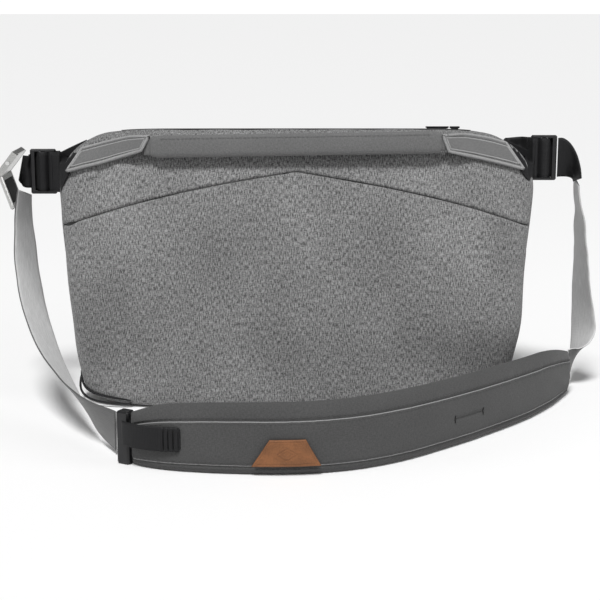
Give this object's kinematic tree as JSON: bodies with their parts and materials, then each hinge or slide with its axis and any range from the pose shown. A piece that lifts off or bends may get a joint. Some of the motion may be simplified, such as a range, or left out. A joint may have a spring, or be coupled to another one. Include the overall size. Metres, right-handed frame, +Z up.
{
  "type": "camera bag",
  "caption": "Soft sling camera bag with a zipped top, V-seamed front, grab handle, folding dividers and a padded shoulder strap laid round its front.",
  "frame": {"origin": "middle of the base, on the face it stands on", "axes": "+X to the right of the handle side, +Y away from the handle side, +Z up"},
  "size_m": [0.5766, 0.3495, 0.257],
  "materials": {
    "heather_fabric": "heather woven polyester",
    "smooth_fabric": "plain woven, darker grey",
    "strap_webbing": "satin seat-belt webbing",
    "black_webbing": "ribbed black webbing",
    "black_plastic": "satin moulded nylon",
    "foam": "closed-cell foam, fabric faced",
    "liner": "brushed liner",
    "leather": "tan, embossed",
    "aluminium": "satin anodised",
    "board": "stiffener board"
  },
  "bodies": {
    "bag": {"front_panel": "heather_fabric", "front_yoke": "heather_fabric", "side_panel_left": "heather_fabric", "side_panel_right": "heather_fabric", "rear_panel": "heather_fabric", "base_panel": "heather_fabric", "gusset_left": "heather_fabric", "gusset_right": "heather_fabric", "pocket_panel": "heather_fabric", "handle_patch_left": "smooth_fabric", "handle_patch_right": "smooth_fabric", "tab_webbing_left": "black_webbing", "tab_webbing_right": "black_webbing", "zip_tape_front": "black_webbing", "zip_garage_left": "black_webbing", "zip_garage_right": "black_webbing", "corner_loop_left": "black_webbing", "corner_loop_right": "black_webbing", "pocket_zip": "black_webbing", "buckle_left": "black_plastic", "buckle_right": "black_plastic", "zip_coil_front": "black_plastic", "zip_lock_eyelet": "black_plastic", "foam_front": "foam", "foam_rear": "foam", "foam_side_left": "foam", "foam_side_right": "foam", "foam_base": "foam", "liner_tub": "liner", "base_stiffener": "board"},
    "lid": {"lid_panel": "heather_fabric", "lid_foam": "foam", "lid_liner": "liner", "zip_coil_lid": "black_plastic", "zip_tape_lid": "black_webbing"},
    "slider": {"main_slider": "black_plastic"},
    "pull": {"main_pull": "black_plastic"},
    "far_slider": {"pocket_slider": "black_plastic"},
    "far_pull": {"pocket_pull": "black_plastic"},
    "grab_handle": {"handle_cover": "smooth_fabric", "handle_core": "black_webbing"},
    "strap": {"link_webbing_left": "black_webbing", "link_webbing_right": "black_webbing", "adjuster_frame": "aluminium", "adjuster_pin": "aluminium", "strap_webbing_left": "strap_webbing", "strap_webbing_right": "strap_webbing", "pad_foam": "foam", "pad_front_cover": "smooth_fabric", "pad_back_cover": "smooth_fabric", "leather_patch": "leather", "pad_end_buckle": "black_plastic"},
    "lever": {"adjuster_lever": "aluminium"},
    "tab": {"pull_tab": "black_webbing"},
    "divider_left": {"divider_left_wall": "liner"},
    "divider_left_fold": {"divider_left_flap": "liner"},
    "divider_right": {"divider_right_wall": "liner"},
    "divider_right_fold": {"divider_right_flap": "liner"}
  },
  "joints": [
    {"name": "lid_hinge", "type": "hinge", "parent": "bag", "child": "lid", "pos_m": [0, 0.0478, 0.2296], "axis": [-1, 0, 0], "range_deg": [0, 110]},
    {"name": "main_slider_slide", "type": "slide", "parent": "bag", "child": "slider", "axis": [-1, 0, 0], "range_m": [0, 0.3]},
    {"name": "main_pull_flip", "type": "hinge", "parent": "slider", "child": "pull", "pos_m": [0.144, -0.00372, 0.25627], "axis": [0, 1, 0], "range_deg": [0, 90]},
    {"name": "pocket_slider_slide", "type": "slide", "parent": "bag", "child": "far_slider", "axis": [1, 0, 0], "range_m": [0, 0.21]},
    {"name": "pocket_pull_swing", "type": "hinge", "parent": "far_slider", "child": "far_pull", "pos_m": [-0.1081, 0.07339, 0.17684], "axis": [1, 0, 0], "range_deg": [0, 100]},
    {"name": "handle_lift", "type": "hinge", "parent": "bag", "child": "grab_handle", "pos_m": [0, -0.038, 0.2445], "axis": [-0.9999, 0, -0.016], "range_deg": [0, 85]},
    {"name": "strap_swing", "type": "hinge", "parent": "bag", "child": "strap", "pos_m": [-0.2393, -0.01, 0.215], "axis": [-0.9996, 0, -0.0275], "range_deg": [0, 127]},
    {"name": "adjuster_lever_lift", "type": "hinge", "parent": "strap", "child": "lever", "pos_m": [-0.27, -0.004, 0.2245], "axis": [0, -1, 0], "range_deg": [0, 60]},
    {"name": "pull_tab_lift", "type": "hinge", "parent": "strap", "child": "tab", "pos_m": [-0.14032, -0.23896, 0.0226], "axis": [0, 0, -1], "range_deg": [0, 70]},
    {"name": "divider_left_slide", "type": "slide", "parent": "bag", "child": "divider_left", "axis": [1, 0, 0], "range_m": [-0.03, 0.03]},
    {"name": "divider_left_flap_fold", "type": "hinge", "parent": "divider_left", "child": "divider_left_fold", "pos_m": [-0.065, 0, 0.1624], "axis": [0, -1, 0], "range_deg": [0, 80]},
    {"name": "divider_right_slide", "type": "slide", "parent": "bag", "child": "divider_right", "axis": [1, 0, 0], "range_m": [-0.03, 0.03]},
    {"name": "divider_right_flap_fold", "type": "hinge", "parent": "divider_right", "child": "divider_right_fold", "pos_m": [0.065, 0, 0.1624], "axis": [0, 1, 0], "range_deg": [0, 80]}
  ]
}
